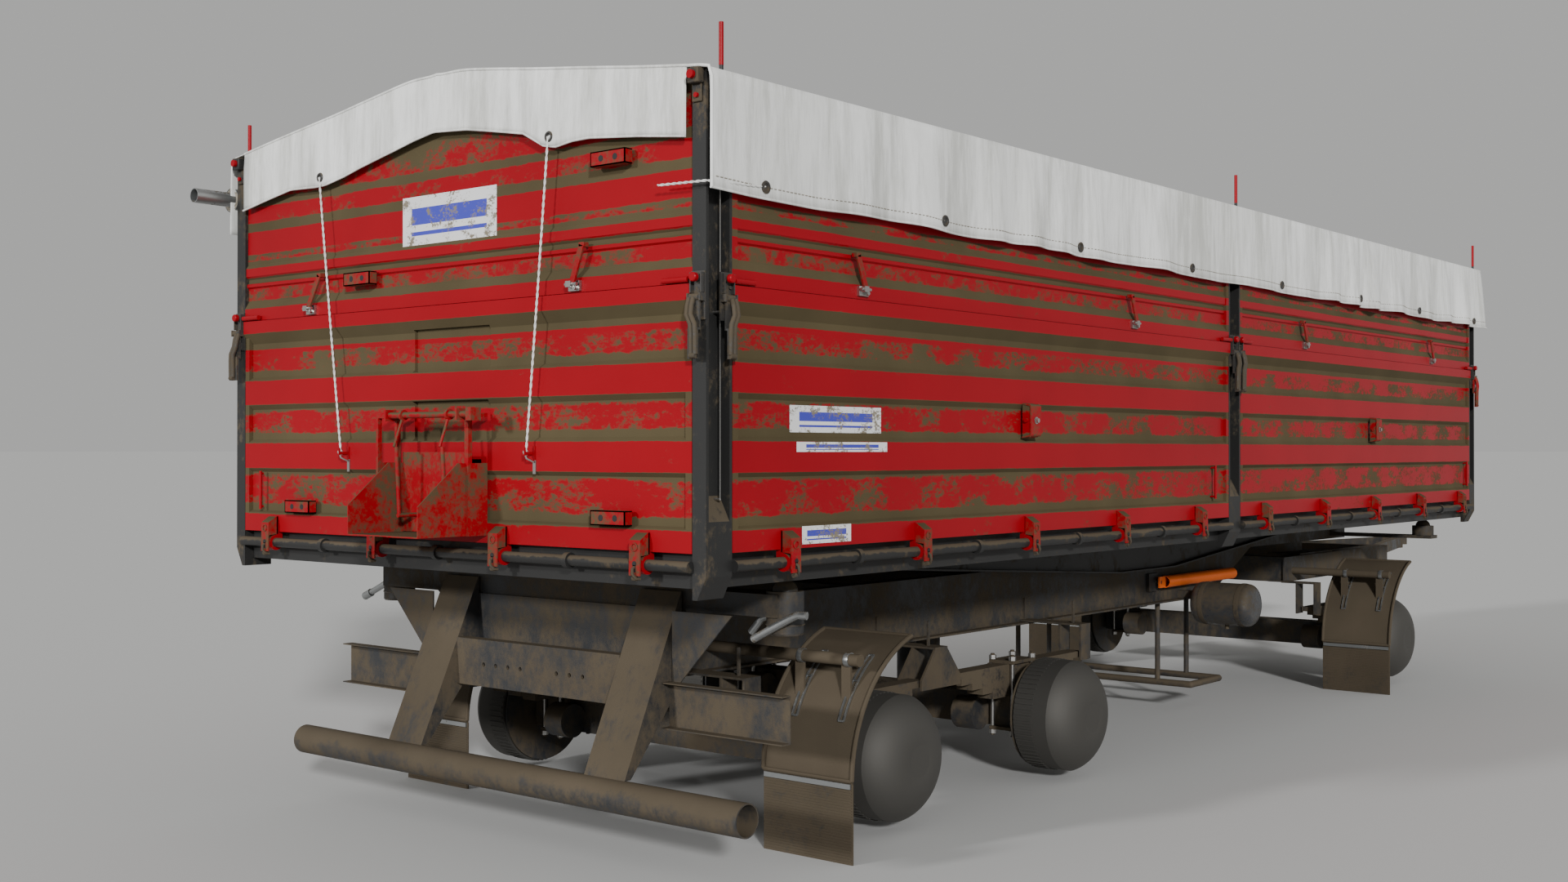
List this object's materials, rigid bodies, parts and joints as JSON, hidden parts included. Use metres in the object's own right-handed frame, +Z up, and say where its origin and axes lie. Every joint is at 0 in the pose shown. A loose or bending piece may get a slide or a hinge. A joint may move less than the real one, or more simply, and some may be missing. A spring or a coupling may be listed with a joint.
{
  "type": "tipping grain trailer",
  "caption": "Tarp-covered farm tipping trailer with fold-down corrugated boards, a grain chute in the tailgate, a steered front dolly and a telescopic ram.",
  "frame": {"origin": "on the ground plane touched by the mudflaps, under the middle of the whole trailer", "axes": "+X to the trailer's right, +Y forward towards the drawbar eye, +Z up"},
  "size_m": [2.6719, 9.993, 2.785],
  "materials": {
    "red_paint": "gloss paint, dusty",
    "dark_frame_paint": "dark paint, dusty",
    "undercarriage_paint": "dark paint under dried mud",
    "steel": "weathered steel",
    "cast_drum": "dark cast iron",
    "tarp_fabric": "coated cloth",
    "rope": "braided",
    "rubber": "matte",
    "orange_paint": "paint",
    "lever_steel": "worn dark paint"
  },
  "bodies": {
    "chassis": {"chassis_frame": "undercarriage_paint", "spring_hangers": "undercarriage_paint", "rear_axles": "undercarriage_paint", "rear_springs": "undercarriage_paint", "rear_mudguards": "undercarriage_paint", "rear_flaps": "rubber", "underrun_frame": "undercarriage_paint", "underrun_tube": "steel", "air_tank": "undercarriage_paint", "safety_prop": "orange_paint", "spare_wheel_cradle": "undercarriage_paint", "brake_hoses": "rubber"},
    "dolly": {"dolly_frame": "undercarriage_paint", "front_axle": "undercarriage_paint", "front_springs": "undercarriage_paint", "front_mudguards": "undercarriage_paint", "front_flaps": "rubber"},
    "drawbar": {"drawbar": "undercarriage_paint"},
    "box": {"box_frame": "dark_frame_paint", "box_floor": "dark_frame_paint", "hinge_shafts": "dark_frame_paint", "posts": "dark_frame_paint", "headboard": "red_paint", "upper_boards": "red_paint", "lock_plates": "dark_frame_paint", "roof_bows": "dark_frame_paint", "tarp": "tarp_fabric", "roll_tube": "steel", "rear_rope_left": "rope", "rear_rope_right": "rope", "side_cord": "rope", "ball_studs": "dark_frame_paint"},
    "tailgate": {"tailgate": "red_paint", "chute": "red_paint"},
    "gate": {"gate": "red_paint"},
    "gate_shaft": {"gate_shaft": "red_paint"},
    "drum_right_rear": {"drum_right_rear": "cast_drum"},
    "drum_left_rear": {"drum_left_rear": "cast_drum"},
    "drum_right_middle": {"drum_right_middle": "cast_drum"},
    "drum_left_middle": {"drum_left_middle": "cast_drum"},
    "drum_right_front": {"drum_right_front": "cast_drum"},
    "drum_left_front": {"drum_left_front": "cast_drum"},
    "side_board_right_rear": {"side_board_right_rear": "red_paint"},
    "side_board_right_front": {"side_board_right_front": "red_paint"},
    "side_board_left_rear": {"side_board_left_rear": "red_paint"},
    "side_board_left_front": {"side_board_left_front": "red_paint"},
    "lever_right_rear_corner": {"lever_right_rear_corner": "lever_steel"},
    "lever_right_rear_side": {"lever_right_rear_side": "lever_steel"},
    "lever_right_mid_rear": {"lever_right_mid_rear": "lever_steel"},
    "lever_right_mid_front": {"lever_right_mid_front": "lever_steel"},
    "lever_right_front_side": {"lever_right_front_side": "lever_steel"},
    "lever_left_rear_corner": {"lever_left_rear_corner": "lever_steel"},
    "lever_left_rear_side": {"lever_left_rear_side": "lever_steel"},
    "lever_left_mid_rear": {"lever_left_mid_rear": "lever_steel"},
    "lever_left_mid_front": {"lever_left_mid_front": "lever_steel"},
    "lever_left_front_side": {"lever_left_front_side": "lever_steel"},
    "ram_barrel": {"ram_barrel": "undercarriage_paint"},
    "ram_stage_1": {"ram_stage_1": "steel"},
    "ram_stage_2": {"ram_stage_2": "steel"},
    "ram_stage_3": {"ram_stage_3": "steel"}
  },
  "joints": [
    {"name": "box_tip", "type": "hinge", "parent": "chassis", "child": "box", "pos_m": [0, -4.071, 0.945], "axis": [1, 0, 0], "range_deg": [0, 45]},
    {"name": "dolly_steer", "type": "hinge", "parent": "chassis", "child": "dolly", "pos_m": [0, 1.789, 0.82], "axis": [0, 0, 1], "range_deg": [-35, 35]},
    {"name": "drawbar_pitch", "type": "hinge", "parent": "dolly", "child": "drawbar", "pos_m": [0, 3.039, 0.706], "axis": [1, 0, 0], "range_deg": [0, 60]},
    {"name": "tailgate_fold", "type": "hinge", "parent": "box", "child": "tailgate", "pos_m": [0, -4.719, 1.071], "axis": [1, 0, 0], "range_deg": [0, 90], "deforming": ["rear_rope_left", "rear_rope_right"]},
    {"name": "gate_lift", "type": "slide", "parent": "tailgate", "child": "gate", "axis": [0, 0, 1], "range_m": [0, 0.2218]},
    {"name": "gate_shaft_turn", "type": "hinge", "parent": "tailgate", "child": "gate_shaft", "pos_m": [0, -4.823, 1.554], "axis": [-1, 0, 0], "range_deg": [0, 141]},
    {"name": "drum_right_rear_spin", "type": "hinge", "parent": "chassis", "child": "drum_right_rear", "pos_m": [1, -3.401, 0.281], "axis": [1, 0, 0], "continuous": true},
    {"name": "drum_left_rear_spin", "type": "hinge", "parent": "chassis", "child": "drum_left_rear", "pos_m": [-1, -3.401, 0.281], "axis": [1, 0, 0], "continuous": true},
    {"name": "drum_right_middle_spin", "type": "hinge", "parent": "chassis", "child": "drum_right_middle", "pos_m": [1, -2.106, 0.281], "axis": [1, 0, 0], "continuous": true},
    {"name": "drum_left_middle_spin", "type": "hinge", "parent": "chassis", "child": "drum_left_middle", "pos_m": [-1, -2.106, 0.281], "axis": [1, 0, 0], "continuous": true},
    {"name": "drum_right_front_spin", "type": "hinge", "parent": "dolly", "child": "drum_right_front", "pos_m": [1, 1.789, 0.281], "axis": [1, 0, 0], "continuous": true},
    {"name": "drum_left_front_spin", "type": "hinge", "parent": "dolly", "child": "drum_left_front", "pos_m": [-1, 1.789, 0.281], "axis": [1, 0, 0], "continuous": true},
    {"name": "side_board_right_rear_fold", "type": "hinge", "parent": "box", "child": "side_board_right_rear", "pos_m": [1.283, -2.811, 1.071], "axis": [0, 1, 0], "range_deg": [0, 165]},
    {"name": "side_board_right_front_fold", "type": "hinge", "parent": "box", "child": "side_board_right_front", "pos_m": [1.283, 0.789, 1.071], "axis": [0, 1, 0], "range_deg": [0, 165]},
    {"name": "side_board_left_rear_fold", "type": "hinge", "parent": "box", "child": "side_board_left_rear", "pos_m": [-1.283, -2.811, 1.071], "axis": [0, -1, 0], "range_deg": [0, 165]},
    {"name": "side_board_left_front_fold", "type": "hinge", "parent": "box", "child": "side_board_left_front", "pos_m": [-1.283, 0.789, 1.071], "axis": [0, -1, 0], "range_deg": [0, 165]},
    {"name": "lever_right_rear_corner_swing", "type": "hinge", "parent": "box", "child": "lever_right_rear_corner", "pos_m": [1.2465, -4.729, 1.9], "axis": [-1, 0, 0], "range_deg": [0, 110]},
    {"name": "lever_right_rear_side_swing", "type": "hinge", "parent": "box", "child": "lever_right_rear_side", "pos_m": [1.293, -4.623, 1.9], "axis": [0, -1, 0], "range_deg": [0, 110]},
    {"name": "lever_right_mid_rear_swing", "type": "hinge", "parent": "box", "child": "lever_right_mid_rear", "pos_m": [1.293, -0.979, 1.9], "axis": [0, -1, 0], "range_deg": [0, 110]},
    {"name": "lever_right_mid_front_swing", "type": "hinge", "parent": "box", "child": "lever_right_mid_front", "pos_m": [1.293, -0.912, 1.9], "axis": [0, -1, 0], "range_deg": [0, 110]},
    {"name": "lever_right_front_side_swing", "type": "hinge", "parent": "box", "child": "lever_right_front_side", "pos_m": [1.293, 2.619, 1.9], "axis": [0, -1, 0], "range_deg": [0, 110]},
    {"name": "lever_left_rear_corner_swing", "type": "hinge", "parent": "box", "child": "lever_left_rear_corner", "pos_m": [-1.2465, -4.729, 1.9], "axis": [-1, 0, 0], "range_deg": [0, 110]},
    {"name": "lever_left_rear_side_swing", "type": "hinge", "parent": "box", "child": "lever_left_rear_side", "pos_m": [-1.293, -4.623, 1.9], "axis": [0, 1, 0], "range_deg": [0, 110]},
    {"name": "lever_left_mid_rear_swing", "type": "hinge", "parent": "box", "child": "lever_left_mid_rear", "pos_m": [-1.293, -0.979, 1.9], "axis": [0, 1, 0], "range_deg": [0, 110]},
    {"name": "lever_left_mid_front_swing", "type": "hinge", "parent": "box", "child": "lever_left_mid_front", "pos_m": [-1.293, -0.912, 1.9], "axis": [0, 1, 0], "range_deg": [0, 110]},
    {"name": "lever_left_front_side_swing", "type": "hinge", "parent": "box", "child": "lever_left_front_side", "pos_m": [-1.293, 2.619, 1.9], "axis": [0, 1, 0], "range_deg": [0, 110]},
    {"name": "ram_tilt", "type": "hinge", "parent": "chassis", "child": "ram_barrel", "pos_m": [0, -1.761, 0.7], "axis": [1, 0, 0], "range_deg": [0, 20.01]},
    {"name": "ram_stage_1_slide", "type": "slide", "parent": "ram_barrel", "child": "ram_stage_1", "axis": [0, 0, 1], "range_m": [0, 0.5845]},
    {"name": "ram_stage_2_slide", "type": "slide", "parent": "ram_stage_1", "child": "ram_stage_2", "axis": [0, 0, 1], "range_m": [0, 0.5845]},
    {"name": "ram_stage_3_slide", "type": "slide", "parent": "ram_stage_2", "child": "ram_stage_3", "axis": [0, 0, 1], "range_m": [0, 0.5845]}
  ],
  "couplings": [
    {"joint": "gate_shaft_turn", "follows": "gate_lift", "rad_per_m": 11},
    {"joint": "ram_tilt", "follows": "box_tip", "ratio": 0.44019},
    {"joint": "ram_stage_1_slide", "follows": "box_tip", "m_per_rad": 0.74338},
    {"joint": "ram_stage_2_slide", "follows": "box_tip", "m_per_rad": 0.74338},
    {"joint": "ram_stage_3_slide", "follows": "box_tip", "m_per_rad": 0.74338}
  ]
}
